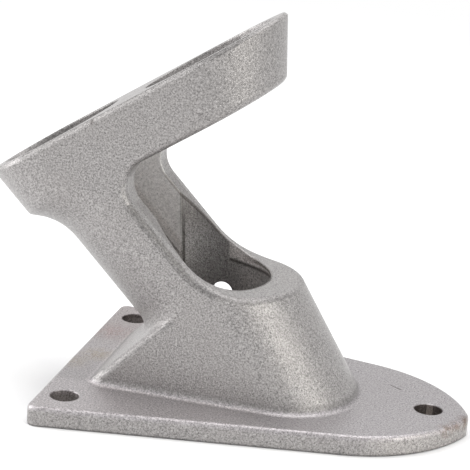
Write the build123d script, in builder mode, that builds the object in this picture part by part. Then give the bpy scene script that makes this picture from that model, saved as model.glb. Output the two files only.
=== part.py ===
"""Two-way mast base: one hollow metal casting on a shield-shaped foot plate.

Two sockets meet in the foot. The leaning socket runs up the leg and out of the low end of the
oblong collar. The upright socket runs from the boss, across the open window, and out of the
high end of the collar. Millimetres, +Z up. The foot plate rests on Z = 0, the upright socket's
axis meets that plane at the origin, and the leg leans towards -X.
"""

import os
from math import cos, radians, sin, sqrt, tan

from build123d import *

os.makedirs("parts", exist_ok=True)

# Foot plate
plate_thickness = 4.2
plate_left_x = -31.2
plate_half_width = 34.3
plate_side_taper = 10.85
plate_tip_x = 57.9
plate_shoulder_radius = 31.2
plate_tip_radius = 5.4
plate_corner_radius = 2.2
plate_edge_radius = 0.9

# Screw holes in the foot plate
screw_hole_radius = 3.15
rear_screw_x = -25.3
rear_screw_spacing = 51.0
nose_screw_x = 49.1

# Casting body
body_half_width = 16.5
leg_axis_foot_x = 24.1
leg_lean = 45.0
toe_foot_x = -27.7
boss_top_z = 28.0
foot_end_x = 20.0
foot_end_lean = 32.5

# Collar, a thick oblong ring whose faces slope up towards +X
collar_slope = 34.0
collar_thickness = 12.7
collar_axis_foot_x = 16.7
collar_under_z = 64.6

# Window between the boss and the collar
window_slope_foot_x = 29.4
window_lower_radius = 20.0
window_upper_radius = 6.4

# Sockets
upright_bore_radius = 13.6
upright_lean = 4.2
upright_floor = 7.5
leaning_mouth_radius = 13.6
leaning_mouth_lean = 49.0
leaning_mouth_foot_x = 25.6
leaning_mouth_floor = 75.0
leaning_slot_half_width = 10.2
leaning_slot_foot_x = 20.0
leaning_slot_end = 18.0
leaning_slot_rise = 3.0

# Set screw hole through the wall on the +Y side
set_screw_radius = 2.5
set_screw_z = 18.6
set_screw_shift = 0.5

# Blends
toe_flare_radius = 4.5
toe_flare_turn = 75.0
flare_sink = 0.4
collar_flare_radius = 12.0
collar_corner_radius = 1.6
toe_edge_radius = 1.8
collar_rim_chamfer = 0.8
window_edge_radius = 1.8
foot_fillet_radius = 1.8
flare_stations = 4

# How far cutting and trimming solids run past the casting
overrun = 20.0

# Where the shapes that make up the leg overlap inside the casting
seam_overlap = 2.0
web_start_rise = 4.0
slot_breakout = 0.3


def leaning_direction(angle):
    """Unit vector that leans from +Z towards -X by an angle in degrees."""
    return Vector(-sin(radians(angle)), 0, cos(radians(angle)))


def leaning_plane(foot_x, angle, distance):
    """Plane square to a leaning axis, at a distance up it from where it meets Z = 0."""
    direction = leaning_direction(angle)
    origin = Vector(foot_x, 0, 0) + direction * distance
    return Plane(origin=origin, x_dir=(cos(radians(angle)), 0, sin(radians(angle))), z_dir=direction)


def round_backed_section(shift, reach):
    """Closed outline with a half-round back at -shift and a flat front at reach."""
    start = (reach, -body_half_width)
    lower = (-shift, -body_half_width)
    back = (-shift - body_half_width, 0)
    upper = (-shift, body_half_width)
    end = (reach, body_half_width)
    Line(start, lower)
    ThreePointArc(lower, back, upper)
    Line(upper, end)
    Line(end, start)


# Foot plate: straight tapered sides, a broad arc each side of the nose and a small tip arc
taper_sine = sin(radians(plate_side_taper))
taper_cosine = cos(radians(plate_side_taper))
side_offset = taper_sine * plate_left_x + taper_cosine * plate_half_width
tip_centre = Vector(plate_tip_x - plate_tip_radius, 0)
side_normal = Vector(taper_sine, taper_cosine)
side_tangent = Vector(taper_cosine, -taper_sine)
inner_start = side_normal * (side_offset - plate_shoulder_radius)
gap_to_tip = inner_start - tip_centre
along_side = gap_to_tip.dot(side_tangent)
arc_difference = plate_shoulder_radius - plate_tip_radius
side_run = -along_side - sqrt(along_side**2 - gap_to_tip.dot(gap_to_tip) + arc_difference**2)
shoulder_centre = inner_start + side_tangent * side_run
shoulder_start = shoulder_centre + side_normal * plate_shoulder_radius
shoulder_end = shoulder_centre + (tip_centre - shoulder_centre).normalized() * plate_shoulder_radius

with BuildPart() as plate:
    with BuildSketch() as plate_outline:
        with BuildLine():
            Line((plate_left_x, 0), (plate_left_x, plate_half_width))
            Line((plate_left_x, plate_half_width), (shoulder_start.X, shoulder_start.Y))
            RadiusArc(
                (shoulder_start.X, shoulder_start.Y),
                (shoulder_end.X, shoulder_end.Y),
                plate_shoulder_radius,
            )
            RadiusArc((shoulder_end.X, shoulder_end.Y), (plate_tip_x, 0), plate_tip_radius)
            mirror(about=Plane.XZ)
        make_face()
        fillet(plate_outline.vertices().group_by(Axis.X)[0], plate_corner_radius)
    extrude(amount=plate_thickness)
    fillet(plate.faces().sort_by(Axis.Z)[-1].edges(), plate_edge_radius)

# Window: the space between the boss and the collar, cut right across
lean_tan = tan(radians(leg_lean))
slope_tan = tan(radians(collar_slope))
window_corner_z = (collar_under_z + slope_tan * window_slope_foot_x) / (1 + slope_tan * lean_tan)
window_corner_x = window_slope_foot_x - window_corner_z * lean_tan
window_boss_x = window_slope_foot_x - boss_top_z * lean_tan
window_end_x = foot_end_x + 2 * overrun
with BuildPart() as window:
    with BuildSketch(Plane.XZ) as window_side:
        with BuildLine():
            Polyline(
                (window_boss_x, boss_top_z),
                (window_corner_x, window_corner_z),
                (window_end_x, collar_under_z + slope_tan * window_end_x),
                (window_end_x, boss_top_z),
                close=True,
            )
        make_face()
        lower_corner = window_side.vertices().sort_by_distance((window_boss_x, boss_top_z))[0]
        fillet(lower_corner, window_lower_radius)
        upper_corner = window_side.vertices().sort_by_distance((window_corner_x, window_corner_z))[0]
        fillet(upper_corner, window_upper_radius)
    extrude(amount=body_half_width + overrun, both=True)

# Foot: flat sides, a sloping toe and a round end that leans with its top
web_back_x = leg_axis_foot_x + seam_overlap
web_toe_z = (web_back_x - toe_foot_x) / (lean_tan + 1 / lean_tan)
web_start_z = boss_top_z + web_start_rise
foot_top_z = web_start_z + seam_overlap
with BuildPart() as foot:
    with BuildSketch(Plane.XY):
        with Locations((foot_end_x, 0)):
            Circle(body_half_width)
            Rectangle(5 * overrun, 2 * body_half_width, align=(Align.MAX, Align.CENTER))
    extrude(amount=(foot_top_z + overrun) / cos(radians(foot_end_lean)), dir=leaning_direction(foot_end_lean))
    with BuildSketch(Plane.XZ):
        with BuildLine():
            Polyline(
                (toe_foot_x, 0),
                (toe_foot_x + web_toe_z / lean_tan, web_toe_z),
                (web_back_x - foot_top_z * lean_tan, foot_top_z),
                (foot_end_x + 2 * overrun, foot_top_z),
                (foot_end_x + 2 * overrun, 0),
                close=True,
            )
        make_face()
    extrude(amount=body_half_width + overrun, both=True, mode=Mode.INTERSECT)
    toe_direction = Axis((0, 0, 0), (cos(radians(leg_lean)), 0, sin(radians(leg_lean))))
    fillet(foot.edges().filter_by(toe_direction), toe_edge_radius)
    add(window.part, mode=Mode.SUBTRACT)

# Web: the leg's flat-sided front, from the foot up into the collar
web_top_z = (collar_under_z + slope_tan * web_back_x + collar_thickness / 2) / (1 + slope_tan * lean_tan)
web_top_x = web_back_x - web_top_z * lean_tan
web_front_x = window_slope_foot_x + seam_overlap
web_side_x = window_corner_x + 2 * window_upper_radius
with BuildPart() as web:
    with BuildSketch(Plane.XZ):
        with BuildLine():
            Polyline(
                (web_back_x - web_start_z * lean_tan, web_start_z),
                (web_top_x, web_top_z),
                (web_side_x, web_top_z + (web_side_x - web_top_x) * slope_tan),
                (web_side_x, (web_front_x - web_side_x) / lean_tan),
                (web_front_x - web_start_z * lean_tan, web_start_z),
                close=True,
            )
        make_face()
    extrude(amount=body_half_width, both=True)
    add(window.part, mode=Mode.SUBTRACT)

# Leg back: half round, flaring out into the toe below and stepping out to the collar above.
# The step is a hollow arc, a short level run and a rounded corner, all seen square from the side.
toe_level = (leg_axis_foot_x - toe_foot_x) * sin(radians(leg_lean)) - flare_sink
toe_flare_rise = toe_flare_radius * sin(radians(toe_flare_turn))
lean_sine = sin(radians(leg_lean))
lean_cosine = cos(radians(leg_lean))
collar_step = (leg_axis_foot_x - collar_axis_foot_x) * lean_cosine
level_run = (collar_step - (collar_flare_radius + collar_corner_radius) * (1 - lean_cosine)) / lean_cosine
collar_back_x = collar_axis_foot_x - body_half_width / lean_cosine
corner_z = (collar_under_z + slope_tan * collar_back_x) / (1 + slope_tan * lean_tan)
corner_offset = Vector(collar_back_x - corner_z * lean_tan - leg_axis_foot_x, 0, corner_z)
corner_tangent = collar_corner_radius * tan(radians(leg_lean / 2))
corner_start = corner_offset.dot(leaning_direction(leg_lean)) + corner_tangent
corner_level = corner_start - collar_corner_radius * lean_sine
flare_end = corner_level - level_run * lean_sine
flare_start = flare_end - collar_flare_radius * lean_sine
leg_reach = 1.5 * seam_overlap

with BuildPart() as leg_middle:
    with BuildSketch(leaning_plane(leg_axis_foot_x, leg_lean, toe_level + toe_flare_rise)):
        with BuildLine():
            round_backed_section(0, leg_reach)
        make_face()
    extrude(amount=flare_start - toe_level - toe_flare_rise)

with BuildPart() as leg_top:
    for station in range(flare_stations):
        turn = radians(leg_lean) * station / (flare_stations - 1)
        rise = flare_start + collar_flare_radius * sin(turn)
        with BuildSketch(leaning_plane(leg_axis_foot_x, leg_lean, rise)):
            with BuildLine():
                round_backed_section(collar_flare_radius * (1 - cos(turn)), leg_reach)
            make_face()
    loft()

run_shift = collar_flare_radius * (1 - lean_cosine)
with BuildPart() as leg_level:
    with BuildSketch(leaning_plane(leg_axis_foot_x, leg_lean, flare_end)):
        with BuildLine():
            round_backed_section(run_shift, leg_reach)
        make_face()
    with BuildSketch(leaning_plane(leg_axis_foot_x, leg_lean, corner_level)):
        with BuildLine():
            round_backed_section(run_shift + level_run * lean_cosine, leg_reach)
        make_face()
    loft()

with BuildPart() as leg_corner:
    for station in range(flare_stations):
        turn = radians(leg_lean) * (1 - station / (flare_stations - 1))
        rise = corner_start - collar_corner_radius * sin(turn)
        with BuildSketch(leaning_plane(leg_axis_foot_x, leg_lean, rise)):
            with BuildLine():
                round_backed_section(collar_step - collar_corner_radius * (1 - cos(turn)), leg_reach)
            make_face()
    loft()

with BuildPart() as leg_toe:
    with BuildSketch(leaning_plane(leg_axis_foot_x, leg_lean, toe_level - 2 * toe_edge_radius)):
        with BuildLine():
            round_backed_section(toe_flare_radius * (1 - cos(radians(toe_flare_turn))), leg_reach)
        make_face()
    extrude(amount=2 * toe_edge_radius)
    for station in range(flare_stations):
        turn = radians(toe_flare_turn) * station / (flare_stations - 1)
        rise = toe_level + toe_flare_rise - toe_flare_radius * sin(turn)
        with BuildSketch(leaning_plane(leg_axis_foot_x, leg_lean, rise)):
            with BuildLine():
                round_backed_section(toe_flare_radius * (1 - cos(turn)), leg_reach)
            make_face()
    loft()

# Collar: a sloping slab trimmed to a half-round end about each socket's lean
collar_reach = 6 * overrun
with BuildPart() as collar:
    with BuildSketch(leaning_plane(collar_axis_foot_x, leg_lean, 0)):
        with BuildLine():
            round_backed_section(0, collar_reach)
        make_face()
    extrude(amount=collar_reach)
    with BuildSketch(leaning_plane(0, upright_lean, -overrun)):
        Circle(body_half_width)
        Rectangle(collar_reach, 2 * body_half_width, align=(Align.MAX, Align.CENTER))
    extrude(amount=collar_reach + overrun, mode=Mode.INTERSECT)
    collar_face = Plane(
        origin=(0, 0, collar_under_z),
        x_dir=(cos(radians(collar_slope)), 0, sin(radians(collar_slope))),
        z_dir=leaning_direction(collar_slope),
    )
    with BuildSketch(collar_face):
        Rectangle(2 * collar_reach, 2 * collar_reach)
    extrude(amount=collar_thickness, mode=Mode.INTERSECT)
    collar_top = collar.faces().sort_by(Axis((0, 0, 0), leaning_direction(collar_slope)))[-1]
    chamfer(collar_top.edges(), collar_rim_chamfer)

    # The leg's back makes the collar's low corner, so the slab gives way to it there
    with BuildSketch(leaning_plane(web_back_x, leg_lean, corner_start + seam_overlap * lean_sine)):
        Rectangle(collar_reach, 2 * collar_reach, align=(Align.MAX, Align.CENTER))
    extrude(amount=-collar_reach, mode=Mode.SUBTRACT)

# Throat: the slot's open side carried on round the window's corner and into the collar's underside
throat_start_z = window_corner_z - 2.5 * window_upper_radius
throat_rise_z = collar_under_z + leaning_slot_rise / cos(radians(collar_slope))
throat_top_z = (throat_rise_z + slope_tan * leaning_slot_foot_x) / (1 + slope_tan * lean_tan)
throat_end_x = window_corner_x + 2 * window_upper_radius
with BuildPart() as throat:
    with BuildSketch(Plane.XZ):
        with BuildLine():
            Polyline(
                (leaning_slot_foot_x - throat_start_z * lean_tan, throat_start_z),
                (leaning_slot_foot_x - throat_top_z * lean_tan, throat_top_z),
                (throat_end_x, throat_rise_z + slope_tan * throat_end_x),
                (throat_end_x, throat_start_z),
                close=True,
            )
        make_face()
    extrude(amount=leaning_slot_half_width, both=True)

# Socket cores: a round mouth through the collar, a flat-sided slot up the leg, and a round bore
slot_reach = (window_slope_foot_x - leaning_slot_foot_x) * lean_cosine + slot_breakout
with BuildPart() as cores:
    with BuildSketch(leaning_plane(leaning_slot_foot_x, leg_lean, leaning_slot_end)):
        Circle(leaning_slot_half_width)
        Rectangle(slot_reach, 2 * leaning_slot_half_width, align=(Align.MIN, Align.CENTER))
    extrude(amount=leaning_mouth_floor - leaning_slot_end)
    add(throat.part)
    with BuildSketch(leaning_plane(leaning_mouth_foot_x, leaning_mouth_lean, leaning_mouth_floor)):
        Circle(leaning_mouth_radius)
    extrude(amount=2 * overrun)
    with BuildSketch(leaning_plane(0, upright_lean, upright_floor)):
        Circle(upright_bore_radius)
    extrude(amount=collar_under_z + 2 * overrun)
    with BuildSketch(leaning_plane(0, upright_lean, upright_floor)):
        Rectangle(2 * collar_reach, 2 * collar_reach)
    extrude(amount=-overrun, mode=Mode.SUBTRACT)

# Set screw hole and plate screw holes
with BuildPart() as drillings:
    with BuildSketch(Plane.XZ):
        with Locations((-set_screw_z * tan(radians(upright_lean)) - set_screw_shift, set_screw_z)):
            Circle(set_screw_radius)
    extrude(amount=-body_half_width - overrun)
    with BuildSketch(Plane.XY.offset(-overrun)):
        with Locations((nose_screw_x, 0)):
            Circle(screw_hole_radius)
        with Locations((rear_screw_x, -rear_screw_spacing / 2), (rear_screw_x, rear_screw_spacing / 2)):
            Circle(screw_hole_radius)
    extrude(amount=overrun + boss_top_z)

with BuildPart() as mast_base:
    add(foot.part)
    add(web.part)
    add(leg_middle.part)
    add(leg_top.part)
    add(leg_level.part)
    add(leg_corner.part)
    add(leg_toe.part)
    add(collar.part)
    leg_front = mast_base.faces().filter_by(toe_direction)[0]
    leg_rise = Axis((0, 0, 0), leaning_direction(leg_lean))
    fillet(leg_front.edges().filter_by(leg_rise), window_edge_radius)
    add(plate.part)
    plate_top = mast_base.faces().filter_by(Axis.Z).sort_by(SortBy.AREA)[-2]
    fillet(plate_top.inner_wires()[0].edges(), foot_fillet_radius)
    add(cores.part, mode=Mode.SUBTRACT)
    add(drillings.part, mode=Mode.SUBTRACT)

mast_base.part.label = "mast_base"
export_step(mast_base.part, "parts/mast_base.step")
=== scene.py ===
from math import cos, radians, sin

import bpy
from mathutils import Matrix, Vector

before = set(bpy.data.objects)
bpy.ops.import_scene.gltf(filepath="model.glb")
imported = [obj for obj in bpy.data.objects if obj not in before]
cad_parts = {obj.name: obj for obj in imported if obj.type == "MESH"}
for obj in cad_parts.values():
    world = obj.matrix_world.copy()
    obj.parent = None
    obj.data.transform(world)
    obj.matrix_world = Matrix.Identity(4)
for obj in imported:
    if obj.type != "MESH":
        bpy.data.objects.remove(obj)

# Blender's own starting objects, where there are any
for name in ("Cube", "Camera", "Light"):
    if name in bpy.data.objects:
        bpy.data.objects.remove(bpy.data.objects[name])
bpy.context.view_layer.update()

scene = bpy.context.scene
scene.view_settings.view_transform = "Standard"


# Camera: the place and angle that the photograph was taken from
camera_place = (0.08445, -0.36272, 0.15560)
turn = radians(-12.635)
dip = radians(17.694)
roll = radians(4.638)
ahead = Vector((sin(turn) * cos(dip), cos(turn) * cos(dip), -sin(dip)))
level = Vector((cos(turn), -sin(turn), 0))
above = level.cross(ahead)
right = level * cos(roll) + above * sin(roll)
up = above * cos(roll) - level * sin(roll)
camera_data = bpy.data.cameras.new("camera")
camera_data.sensor_width = 36
camera_data.lens = 137.87
camera_data.clip_start = 0.01
camera_data.clip_end = 20
camera = bpy.data.objects.new("camera", camera_data)
scene.collection.objects.link(camera)
camera.matrix_world = Matrix.Translation(camera_place) @ Matrix((
    (right.x, up.x, -ahead.x, 0),
    (right.y, up.y, -ahead.y, 0),
    (right.z, up.z, -ahead.z, 0),
    (0, 0, 0, 1),
))
scene.camera = camera


# Lamps: places and sizes in metres, power in watts
object_middle = Vector((0.0, 0.0, 0.04))


def softbox(name, place, size, power, tint=(1, 1, 1)):
    """Rectangular lamp at a place, aimed at the middle of the object."""
    data = bpy.data.lights.new(name, "AREA")
    data.shape = "RECTANGLE"
    data.size, data.size_y = size
    data.energy = power
    data.color = tint
    lamp = bpy.data.objects.new(name, data)
    scene.collection.objects.link(lamp)
    lamp.location = place
    lamp.rotation_euler = (object_middle - Vector(place)).to_track_quat("-Z", "Y").to_euler()


softbox("left_box", place=(-0.62, -0.10, 0.30), size=(0.5, 0.6), power=4.5)
softbox("right_box", place=(0.62, -0.30, 0.32), size=(0.10, 0.5), power=1.6, tint=(1.0, 0.99, 0.92))
softbox("top_box", place=(0.05, 0.15, 0.75), size=(0.7, 0.5), power=3.9)


class Graph:
    """Small helper that adds nodes and links to one node tree."""

    # Numbers of the Mix node's sockets for colours
    mix_factor = 0
    mix_first = 6
    mix_second = 7
    mix_result = 2

    def __init__(self, tree):
        self.tree = tree

    def join(self, value, socket):
        """Link a socket to an input, or set the input to a plain value."""
        if isinstance(value, bpy.types.NodeSocket):
            self.tree.links.new(value, socket)
        else:
            socket.default_value = value

    def node(self, kind, **inputs):
        """New node. Its inputs go by name, or by number as i0, i1 and so on."""
        made = self.tree.nodes.new(kind)
        for key, value in inputs.items():
            numbered = key[0] == "i" and key[1:].isdigit()
            self.join(value, made.inputs[int(key[1:]) if numbered else key])
        return made

    def math(self, operation, a, b=0.0):
        made = self.node("ShaderNodeMath", i0=a, i1=b)
        made.operation = operation
        return made.outputs[0]

    def plus(self, a, b):
        return self.math("ADD", a, b)

    def minus(self, a, b):
        return self.math("SUBTRACT", a, b)

    def times(self, a, b):
        return self.math("MULTIPLY", a, b)

    def magnitude(self, a):
        return self.math("ABSOLUTE", a)

    def less(self, a, b):
        """1 where a is less than b, else 0."""
        return self.math("LESS_THAN", a, b)

    def length(self, a, b):
        """Length of a plane vector from its two parts."""
        return self.math("SQRT", self.plus(self.times(a, a), self.times(b, b)))

    def noise(self, where, scale, detail, rough):
        made = self.node("ShaderNodeTexNoise", Vector=where, Scale=scale, Detail=detail, Roughness=rough)
        return made.outputs["Fac"]

    def split(self, vector):
        """The three parts of a vector."""
        made = self.node("ShaderNodeSeparateXYZ", Vector=vector)
        return list(made.outputs)

    def ramp(self, value, zero_at, one_at):
        """0 at one value and 1 at another, even between them and level beyond them."""
        made = self.node("ShaderNodeMapRange", Value=value)
        made.inputs["From Min"].default_value = zero_at
        made.inputs["From Max"].default_value = one_at
        return made.outputs[0]

    def band(self, value, centre, half, soft):
        """1 where a value lies within half of a centre, falling to 0 over a soft edge."""
        off = self.magnitude(self.minus(value, centre))
        return self.ramp(off, half + soft, half)

    def spot(self, where, centre, radius, soft):
        """1 inside a ball about a point, falling to 0 over a soft edge."""
        near = self.node("ShaderNodeVectorMath", i0=where, i1=centre)
        near.operation = "DISTANCE"
        return self.ramp(near.outputs["Value"], radius + soft, radius)

    def both(self, *masks):
        """Product of masks, which is 1 only where all of them are."""
        made = masks[0]
        for mask in masks[1:]:
            made = self.times(made, mask)
        return made

    def background_ray(self):
        """1 for the rays that show the background: seen directly, in a gloss or through something."""
        path = self.node("ShaderNodeLightPath")
        seen = self.math("MAXIMUM", path.outputs["Is Camera Ray"], path.outputs["Is Glossy Ray"])
        return self.math("MAXIMUM", seen, path.outputs["Is Transmission Ray"])

    def mix(self, factor, first, second, blend="MIX"):
        """Mix of two colours."""
        made = self.tree.nodes.new("ShaderNodeMix")
        made.data_type = "RGBA"
        made.blend_type = blend
        self.join(factor, made.inputs[self.mix_factor])
        self.join(first, made.inputs[self.mix_first])
        self.join(second, made.inputs[self.mix_second])
        return made.outputs[self.mix_result]

    def tone(self, mask, base, colour):
        """Colour multiplied by another one where a mask says so."""
        return self.mix(mask, base, (*colour, 1), "MULTIPLY")

    def tone_spots(self, where, base, spots):
        """Colour multiplied in soft spots, each one a centre, radius, soft edge and colour."""
        for centre, radius, soft, colour in spots:
            base = self.tone(self.spot(where, centre, radius, soft), base, colour)
        return base


def grey(level):
    """Colour that makes another one darker or brighter and leaves its tint."""
    return (level, level, level)


# Forms of the casting that the painted light and shade and the marks follow, in metres. A foot_x is the x
# at which a 45 degree face or axis, drawn on, meets z = 0, and collar_top_z is the height of the collar's
# sloping top at x = 0.
slot_half_width = 0.0102
slot_axis_foot_x = 0.0200
body_half_width = 0.0165
bore_radius = 0.0136
window_slope_foot_x = 0.0294
toe_slope_foot_x = -0.0277
collar_top_z = 0.07992
boss_top_z = 0.0280
plate_top_z = 0.0042
hole_radius = 0.00315
nose_hole_place = (0.0491, 0.0)
near_hole_place = (-0.0253, -0.0255)
rear_hole_place = (-0.0253, 0.0255)

# The collar's rise for each metre along x, and the lean of the upright bore
collar_rise = 0.6745
bore_lean = radians(4.2)

# Spots of the real piece: centre, radius, soft edge and colour
plate_stains = (
    ((-0.0275, 0.0150, plate_top_z), 0.0015, 0.0045, (0.96, 0.86, 0.84)),
    ((-0.0262, 0.0000, plate_top_z), 0.0010, 0.0040, (0.92, 0.86, 0.74)),
    ((-0.0300, -0.0060, plate_top_z), 0.0010, 0.0040, (0.95, 0.91, 0.82)),
    ((0.0545, -0.0082, 0.0037), 0.0002, 0.0024, (0.66, 0.56, 0.49)),
    ((0.0563, -0.0052, 0.0036), 0.0002, 0.0024, (0.64, 0.54, 0.48)),
    ((0.0576, -0.0018, 0.0036), 0.0004, 0.0022, (0.50, 0.41, 0.35)),
)
scratch_spots = (
    ((0.0416, 0.0087, plate_top_z), 0.0002, 0.0004, (0.66, 0.64, 0.63)),
    ((0.0413, 0.0105, plate_top_z), 0.0001, 0.0004, (0.80, 0.78, 0.77)),
)
nick_and_pits = (
    ((0.0188, -0.0064, 0.0286), 0.0004, 0.0008, (0.45, 0.43, 0.42)),
    ((-0.0222, -0.0040, 0.0650), 0.0003, 0.0007, (0.45, 0.43, 0.42)),
    ((-0.0256, -0.0164, 0.0622), 0.0003, 0.0006, (0.50, 0.48, 0.47)),
)


# In the functions below, a pair gives the value at which a mask is 0 and the one at which it is 1


def tone_slot(g, base, place):
    """Slot: a thin dark line of painted shade along the window's far edge, and painted shade over its
    back wall.
    """
    line_bottom_z = (0.0310, 0.0330)
    line_top_z = (0.0470, 0.0440)
    back_begins = (slot_axis_foot_x - 0.0002, slot_axis_foot_x - 0.0014)
    back_ends = (slot_axis_foot_x - 0.0090, slot_axis_foot_x - 0.0085)
    back_top_z = (0.054, 0.052)

    x, y, z = place
    from_middle = g.magnitude(y)
    slope = g.plus(x, z)
    # Painted shade: a thin dark line along the window's far edge
    far_edge_shade = g.both(
        g.band(slope, window_slope_foot_x - 0.0004, half=0.0003, soft=0.0002),
        g.less(from_middle, bore_radius + 0.0001),
        g.ramp(z, *line_bottom_z),
        g.ramp(z, *line_top_z),
    )
    base = g.tone(far_edge_shade, base, (0.55, 0.53, 0.52))
    # Painted shade over the slot's back wall
    slot_back_shade = g.both(
        g.ramp(slope, *back_begins),
        g.ramp(slope, *back_ends),
        g.less(from_middle, slot_half_width + 0.0001),
        g.ramp(z, *back_top_z),
    )
    return g.tone(slot_back_shade, base, (0.80, 0.78, 0.77))


def tone_bore(g, base, place, clear):
    """Upright bore: painted shade above, painted light towards the nose with a dark curved line of
    painted shadow, and a line of painted shade along a crease.
    """
    painted_light_tone = (1.80, 1.78, 1.77)
    painted_shade_tone = (0.32, 0.31, 0.30)

    # Lengths along the bore
    wall_top = (0.050, 0.048)
    dark_above = (0.031, 0.037)
    crease_top = (0.040, 0.033)

    # Angles round the bore, in degrees from the nose
    dark_beyond = (88, 98)
    nose_side_ends = (86, 84)
    pale_fades = (88, 60)
    near_side_ends = (-60, -30)
    line_lowest_at = 46
    crease_at = 129.3
    crease_half = 0.9

    # Place in the bore's own leaning frame
    x, y, z = place
    across = g.plus(g.times(x, cos(bore_lean)), g.times(z, sin(bore_lean)))
    along = g.minus(g.times(z, cos(bore_lean)), g.times(x, sin(bore_lean)))
    angle = g.math("ARCTAN2", y, across)
    radius = g.length(across, y)

    def turned(zero_at, one_at):
        """Ramp by the angle round the bore."""
        return g.ramp(angle, radians(zero_at), radians(one_at))

    wall = g.both(g.band(radius, bore_radius, half=0.00025, soft=0.00005), g.ramp(along, *wall_top))
    # Painted shade over the upper wall of the bore, away from the nose
    upper_shade = g.both(wall, g.ramp(along, *dark_above), turned(*dark_beyond))
    base = g.tone(upper_shade, base, (0.60, 0.59, 0.58))
    past_near_side = turned(*near_side_ends)
    nose_side = g.both(wall, turned(*nose_side_ends), past_near_side)
    nose_lower_light = g.both(wall, turned(*pale_fades), past_near_side)
    # Painted light on the lower wall of the bore towards the nose
    base = g.tone(g.both(nose_lower_light, clear), base, painted_light_tone)

    # The curved line of painted shadow rises to both sides of its lowest point, and the wall above it is
    # paler with painted light
    line_lowest = 0.0258
    line_bend = 0.0020
    pale_above_line = (0.0, 0.0010)
    from_lowest = g.minus(angle, radians(line_lowest_at))
    line_height = g.plus(g.times(g.times(from_lowest, from_lowest), line_bend), line_lowest)
    above_line = g.minus(along, line_height)
    base = g.tone(g.both(nose_side, clear, g.ramp(above_line, *pale_above_line)), base, painted_light_tone)
    # Painted shadow: a dark curved line under the overhang
    line = g.band(above_line, 0.0, half=0.00012, soft=0.00045)
    base = g.tone(g.both(nose_side, line), base, painted_shade_tone)

    # A dark ring of painted shade where the bore's wall meets the top of the boss
    rim_begins_x = (0.002, 0.006)
    rim_shade = g.both(
        g.band(radius, bore_radius + 0.00015, half=0.00018, soft=0.00005),
        g.ramp(x, *rim_begins_x),
        g.band(z, boss_top_z, half=0.0004, soft=0.0003),
    )
    base = g.tone(rim_shade, base, (0.40, 0.39, 0.38))

    # Painted shade along a crease in the bore's wall
    crease_shade = g.band(angle, radians(crease_at), half=radians(crease_half), soft=radians(crease_half))
    return g.tone(g.both(wall, crease_shade, g.ramp(along, *crease_top)), base, painted_shade_tone)


def tone_edges(g, base, place, normal):
    """Painted shade and painted light on the rounded edges of the body, the plate's rim, the collar's
    inner edge and the body's foot.
    """
    x, y, z = place

    # How far the surface faces the sides, and how steeply it faces up apart from that
    side = g.magnitude(normal[1])
    rest = g.math("SQRT", g.math("MAXIMUM", g.minus(1.0, g.times(side, side)), 0.0001))
    steep = g.math("DIVIDE", normal[2], rest)
    steep_enough = (0.60, 0.66)
    above_foot_z = (0.0060, 0.0075)
    facing_up = g.both(g.ramp(steep, *steep_enough), g.ramp(z, *above_foot_z))

    # Painted shade round the turn, with a thin painted highlight where it leaves the side
    turn_begins = (0.05, 0.25)
    turn_ends = (0.90, 0.82)
    turn_shade = g.both(facing_up, g.ramp(side, *turn_begins), g.ramp(side, *turn_ends))
    base = g.tone(turn_shade, base, grey(0.72))
    toe_ends = (toe_slope_foot_x + 0.0040, toe_slope_foot_x + 0.0030)
    beside_toe = g.ramp(g.minus(x, z), *toe_ends)
    away_from_toe = g.minus(1.0, beside_toe)
    # Painted highlight: a thin bright line where the turn leaves the side
    line = g.both(facing_up, g.band(side, 0.93, half=0.03, soft=0.03), away_from_toe)
    base = g.tone(line, base, grey(1.12))

    # Painted shade on the side's part of the toe ridge's turn, and a painted highlight on its upper part
    side_part_begins = (0.45, 0.60)
    side_part_ends = (0.995, 0.98)
    upper_part_begins = (0.03, 0.06)
    upper_part_ends = (0.45, 0.35)
    toe_turn = g.both(facing_up, beside_toe)
    side_part_shade = g.both(toe_turn, g.ramp(side, *side_part_begins), g.ramp(side, *side_part_ends))
    base = g.tone(side_part_shade, base, grey(0.75))
    upper_part_highlight = g.both(toe_turn, g.ramp(side, *upper_part_begins), g.ramp(side, *upper_part_ends))
    base = g.tone(upper_part_highlight, base, grey(1.30))

    # Painted light makes the plate's rim brighter round the near side of the nose
    facing_nose = (0.30, 0.50)
    facing_near = (0.20, 0.00)
    rim_top_z = (plate_top_z - 0.0001, plate_top_z - 0.0003)
    clear_of_hole = (0.0045, 0.0055)
    rim_begins_x = (0.010, 0.015)
    nose_x, nose_y = nose_hole_place
    from_hole = g.length(g.minus(x, nose_x), g.minus(y, nose_y))
    nose_rim_light = g.both(
        g.ramp(normal[0], *facing_nose),
        g.ramp(normal[1], *facing_near),
        g.ramp(z, *rim_top_z),
        g.ramp(from_hole, *clear_of_hole),
        g.ramp(x, *rim_begins_x),
    )
    base = g.tone(nose_rim_light, base, (1.25, 1.24, 1.22))

    # A thin dark line of painted shade along the inner edge of the collar's rim
    near_collar_top = (0.00020, 0.00010)
    below_top = g.minus(collar_top_z, g.minus(z, g.times(x, collar_rise)))
    inner_edge = g.band(g.magnitude(y), body_half_width - 0.0010, half=0.00010, soft=0.00015)
    inner_shade_line = g.both(inner_edge, g.ramp(below_top, *near_collar_top))
    base = g.tone(inner_shade_line, base, (0.55, 0.54, 0.53))

    # Painted shade in the hollow where the body meets the plate, and a thin painted highlight at its foot
    hollow_bottom_z = (plate_top_z + 0.0002, plate_top_z + 0.0007)
    hollow_top_z = (0.0063, 0.0056)
    foot_line_ends_x = (0.020, 0.010)
    hollow_shade = g.both(g.ramp(z, *hollow_bottom_z), g.ramp(z, *hollow_top_z))
    base = g.tone(hollow_shade, base, grey(0.74))
    foot_highlight = g.both(
        g.band(z, plate_top_z + 0.00015, half=0.00010, soft=0.00012),
        g.ramp(x, *foot_line_ends_x),
    )
    return g.tone(foot_highlight, base, (1.35, 1.34, 1.33))


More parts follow.
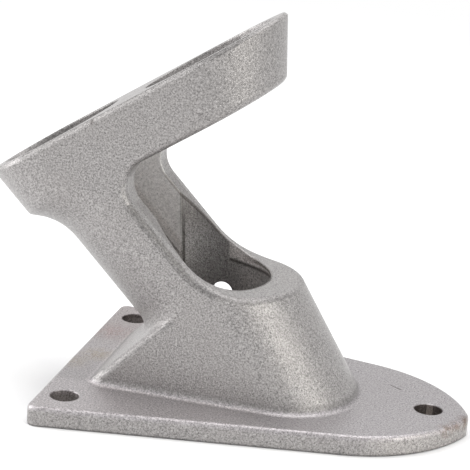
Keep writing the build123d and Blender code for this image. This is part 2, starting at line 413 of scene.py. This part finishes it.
def tone_plate(g, base, place, where, patchy):
    """Plate: painted light and shade over areas of its top, stains, a scratch, and painted shade on the
    walls of the screw holes.
    """
    x, y, z = place
    top_above_z = (0.0030, 0.0036)
    top_below_z = (plate_top_z + 0.0010, plate_top_z + 0.0005)
    top = g.both(g.ramp(z, *top_below_z), g.ramp(z, *top_above_z))
    base = g.tone(top, base, (1.01, 0.995, 1.03))

    # Painted light and shade over areas of the top, lighter at the nose end and near strip, darker at the
    # left end and rear corner, with their soft edges along x and y
    nose_end_x = (0.026, 0.034)
    near_strip_x = (0.024, 0.008)
    near_strip_y = (-0.0150, -0.0175)
    left_end_x = (-0.030, -0.040)
    left_end_y = (-0.010, -0.020)
    rear_corner_x = (-0.012, -0.020)
    rear_corner_y = (0.004, 0.013)
    nose_end_light = g.both(top, g.ramp(x, *nose_end_x))
    base = g.tone(nose_end_light, base, grey(1.05))
    near_strip_light = g.both(top, g.ramp(y, *near_strip_y), g.ramp(x, *near_strip_x))
    base = g.tone(near_strip_light, base, grey(1.16))
    left_end_shade = g.both(top, g.ramp(x, *left_end_x), g.ramp(y, *left_end_y))
    base = g.tone(left_end_shade, base, grey(0.95))
    rear_corner_shade = g.both(top, g.ramp(y, *rear_corner_y), g.ramp(x, *rear_corner_x))
    base = g.tone(rear_corner_shade, base, (0.82, 0.79, 0.775))

    for centre, radius, soft, colour in plate_stains:
        base = g.tone(g.both(g.spot(where, centre, radius, soft), patchy), base, colour)

    # The scratch: a dark stroke with a bright one beside it, and two darker spots near its end
    scratch_start = Vector((0.0390, 0.0103, 0))
    scratch_end = Vector((0.0418, 0.0084, 0))
    end_soft = 0.0004
    half_length = (scratch_end - scratch_start).length / 2
    run = (scratch_end - scratch_start).normalized()
    from_x = g.minus(x, scratch_start.x)
    from_y = g.minus(y, scratch_start.y)
    along = g.plus(g.times(from_x, run.x), g.times(from_y, run.y))
    aside = g.minus(g.times(from_y, run.x), g.times(from_x, run.y))
    in_length = g.both(top, g.band(along, half_length, half=half_length - end_soft, soft=end_soft))
    stroke = g.band(aside, 0.0, half=0.00014, soft=0.00020)
    base = g.tone(g.both(in_length, stroke), base, (0.42, 0.40, 0.39))
    bright_stroke = g.band(aside, -0.00040, half=0.00010, soft=0.00018)
    base = g.tone(g.both(in_length, bright_stroke), base, grey(1.15))
    base = g.tone_spots(where, base, scratch_spots)

    # Painted shade on the walls of the screw holes, darkest in the nose hole
    hole_top_z = (plate_top_z - 0.0001, plate_top_z - 0.0004)
    shaded_hole_wall = (hole_radius + 0.0004, hole_radius + 0.0002)
    below = g.ramp(z, *hole_top_z)
    for (hole_x, hole_y), colour in (
        (nose_hole_place, (0.38, 0.34, 0.31)),
        (near_hole_place, (0.95, 0.91, 0.89)),
        (rear_hole_place, (0.75, 0.70, 0.68)),
    ):
        distance = g.length(g.minus(x, hole_x), g.minus(y, hole_y))
        base = g.tone(g.both(below, g.ramp(distance, *shaded_hole_wall)), base, colour)
    return base


def cast_metal():
    """Tumbled cast aluminium: fine sparkle, slight waviness, the marks of the real piece, and painted
    light and shade.
    """
    material = bpy.data.materials.new("cast_aluminium_tumbled")
    material.use_nodes = True
    g = Graph(material.node_tree)
    shader = material.node_tree.nodes["Principled BSDF"]
    shader.inputs["Metallic"].default_value = 0.7

    # where is a point of the casting in its own frame, and place is that point's three parts
    where = g.node("ShaderNodeTexCoord").outputs["Object"]
    geometry = g.node("ShaderNodeNewGeometry")
    place = g.split(where)
    normal = g.split(geometry.outputs["True Normal"])

    grain = g.noise(where, scale=2600, detail=3, rough=0.7)
    fleck = g.noise(where, scale=5200, detail=1, rough=0.5)
    cloud = g.noise(where, scale=90, detail=4, rough=0.6)
    broad = g.noise(where, scale=22, detail=2, rough=0.5)
    patches = g.noise(where, scale=700, detail=2, rough=0.6)

    # Dark and light grains, with faint clouds
    grain_dark = (0.115, 0.110, 0.108, 1)
    grain_light = (0.510, 0.490, 0.483, 1)
    cloud_colour = (0.32, 0.30, 0.29, 1)
    cloud_most = 0.25
    grain_share = g.ramp(grain, 0.30, 0.70)
    cloud_share = g.times(g.ramp(cloud, 0.35, 0.75), cloud_most)
    base = g.mix(grain_share, grain_dark, grain_light)
    base = g.mix(cloud_share, base, cloud_colour)

    # Painted light: the slot's flat side walls get a much paler grain, which lightens them inside the
    # slot
    wall_light_grain_dark = (0.52, 0.505, 0.495, 1)
    wall_light_grain_light = (0.98, 0.955, 0.94, 1)
    facing_side = g.math("GREATER_THAN", g.magnitude(normal[1]), 0.97)
    inside_slot = g.less(g.magnitude(place[1]), slot_half_width + 0.0003)
    slot_wall_painted_light = g.mix(grain_share, wall_light_grain_dark, wall_light_grain_light)
    base = g.mix(g.both(facing_side, inside_slot), base, slot_wall_painted_light)

    # clear is 1 away from the edges, where the rounding doesn't turn the normal
    round_edges = g.node("ShaderNodeBevel", Radius=0.0006)
    round_edges.samples = 6
    rounded_normal = round_edges.outputs[0]
    likeness = g.node("ShaderNodeVectorMath", i0=rounded_normal, i1=geometry.outputs["True Normal"])
    likeness.operation = "DOT_PRODUCT"
    clear = g.ramp(likeness.outputs["Value"], 0.95, 0.99)

    # Painted light and shade in the slot, the bore, along the edges and on the plate, besides the plate's
    # stains and scratch
    base = tone_slot(g, base, place)
    base = tone_bore(g, base, place, clear)
    base = tone_edges(g, base, place, normal)
    base = tone_plate(g, base, place, where, g.ramp(patches, 0.36, 0.52))
    base = g.tone_spots(where, base, nick_and_pits)
    g.join(base, shader.inputs["Base Color"])

    least_rough = 0.27
    rough_spread = 0.14
    roughness = g.plus(g.times(g.ramp(fleck, 0.3, 0.7), rough_spread), least_rough)
    g.join(roughness, shader.inputs["Roughness"])

    # Fine relief of the sparkle over a slow waviness
    grain_part = 0.6
    fleck_part = 0.4
    height = g.plus(g.times(grain, grain_part), g.times(fleck, fleck_part))
    fine = g.node("ShaderNodeBump", Strength=0.62, Distance=0.00018, Height=height, Normal=rounded_normal)
    wave = g.node("ShaderNodeBump", Strength=0.5, Distance=0.0006, Height=broad, Normal=fine.outputs[0])
    g.join(wave.outputs[0], shader.inputs["Normal"])
    return material


metal = cast_metal()
casting = bpy.data.objects["mast_base"]
for slot in casting.material_slots:
    slot.material = metal


# Floor: pale paper, a hair below the plate's underside
floor_reach = 3
floor_z = -0.0002
floor_corners = [
    (-floor_reach, -floor_reach, 0),
    (floor_reach, -floor_reach, 0),
    (floor_reach, floor_reach, 0),
    (-floor_reach, floor_reach, 0),
]
floor_mesh = bpy.data.meshes.new("floor")
floor_mesh.from_pydata(floor_corners, [], [(0, 1, 2, 3)])
floor = bpy.data.objects.new("floor", floor_mesh)
scene.collection.objects.link(floor)
floor.location.z = floor_z
paper = bpy.data.materials.new("paper")
paper.use_nodes = True
sheet = paper.node_tree.nodes["Principled BSDF"]
sheet.inputs["Base Color"].default_value = (0.86, 0.86, 0.86, 1)
sheet.inputs["Roughness"].default_value = 0.9
sheet.inputs["Specular IOR Level"].default_value = 0.0
floor_mesh.materials.append(paper)

# Away from the object the paper shows plain white, as the backdrop does
g = Graph(paper.node_tree)
from_middle = g.node("ShaderNodeVectorMath", i0=g.node("ShaderNodeTexCoord").outputs["Object"])
from_middle.operation = "LENGTH"
white_begins = 0.20
white_full = 0.50
far = g.ramp(from_middle.outputs["Value"], white_begins, white_full)
white = g.node("ShaderNodeEmission", Color=(1, 1, 1, 1), Strength=1.0)
white_share = g.both(far, g.background_ray())
surface = g.node("ShaderNodeMixShader", i0=white_share, i1=sheet.outputs[0], i2=white.outputs[0])
g.join(surface.outputs[0], paper.node_tree.nodes["Material Output"].inputs["Surface"])

# Surroundings: a pale grey room for the light, and white for what is seen as background
world = bpy.data.worlds.new("studio")
scene.world = world
world.use_nodes = True
g = Graph(world.node_tree)
back = world.node_tree.nodes["Background"]
back.inputs["Strength"].default_value = 1.0
room = g.mix(g.background_ray(), (0.62, 0.62, 0.63, 1), (1, 1, 1, 1))
g.join(room, back.inputs["Color"])
